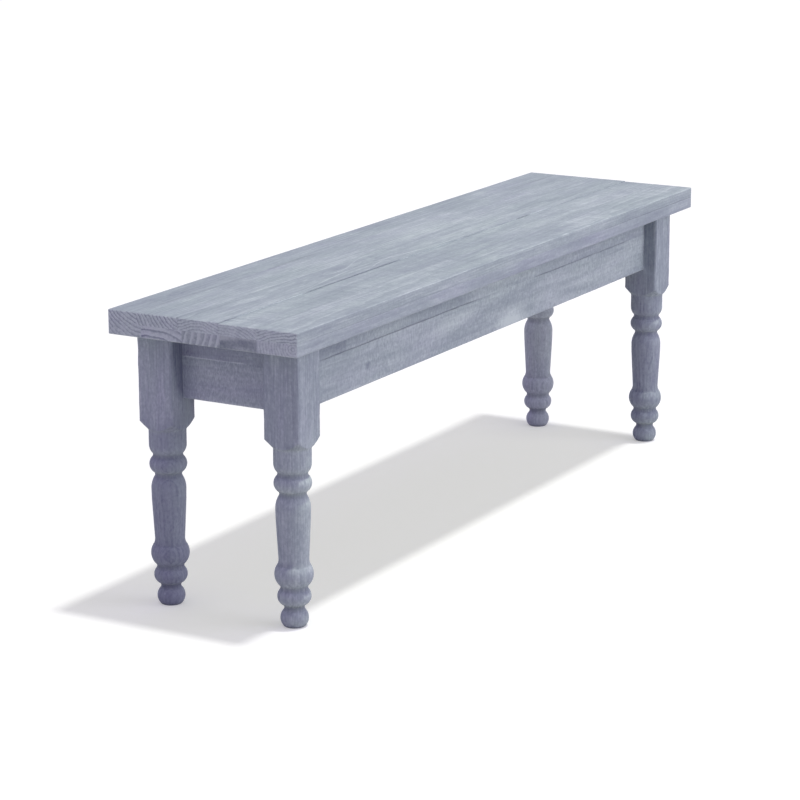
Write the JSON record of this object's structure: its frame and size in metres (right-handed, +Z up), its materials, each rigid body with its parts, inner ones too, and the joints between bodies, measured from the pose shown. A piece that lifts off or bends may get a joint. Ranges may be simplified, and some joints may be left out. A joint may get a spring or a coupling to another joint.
{
  "type": "dining bench",
  "caption": "Backless dining bench in grey-washed pine: a thick seat of glued strips over an apron frame, on turned legs bolted to inner corner blocks.",
  "frame": {"origin": "on the floor under the middle of the seat", "axes": "+X along the seat, +Y across it from front to back, +Z up"},
  "size_m": [1.33, 0.322, 0.457],
  "materials": {
    "grey_washed_pine": "thin grey wash over rough-sawn and turned pine, matte",
    "bare_pine": "planed and left bare",
    "zinc_plated_steel": "zinc plated"
  },
  "bodies": {
    "root": {"seat_upper_strip_1": "grey_washed_pine", "seat_upper_strip_2": "grey_washed_pine", "seat_upper_strip_3": "grey_washed_pine", "seat_upper_strip_4": "grey_washed_pine", "seat_upper_strip_5": "grey_washed_pine", "seat_lower_strip_1": "grey_washed_pine", "seat_lower_strip_2": "grey_washed_pine", "seat_lower_strip_3": "grey_washed_pine", "seat_lower_strip_4": "grey_washed_pine", "seat_lower_strip_5": "grey_washed_pine", "leg_front_left": "grey_washed_pine", "leg_front_right": "grey_washed_pine", "leg_back_right": "grey_washed_pine", "leg_back_left": "grey_washed_pine", "apron_front_upper": "grey_washed_pine", "apron_front_lower": "grey_washed_pine", "apron_back_upper": "grey_washed_pine", "apron_back_lower": "grey_washed_pine", "apron_left_upper": "grey_washed_pine", "apron_left_lower": "grey_washed_pine", "apron_right_upper": "grey_washed_pine", "apron_right_lower": "grey_washed_pine", "corner_block_front_left": "bare_pine", "corner_block_front_right": "bare_pine", "corner_block_back_right": "bare_pine", "corner_block_back_left": "bare_pine", "cross_batten_left": "bare_pine", "cross_batten_right": "bare_pine", "hanger_bolts": "zinc_plated_steel", "hanger_washers": "zinc_plated_steel", "hanger_nuts": "zinc_plated_steel", "corner_block_screws": "zinc_plated_steel", "seat_clips": "zinc_plated_steel", "seat_clip_screws": "zinc_plated_steel", "batten_screws": "zinc_plated_steel"}
  },
  "joints": []
}
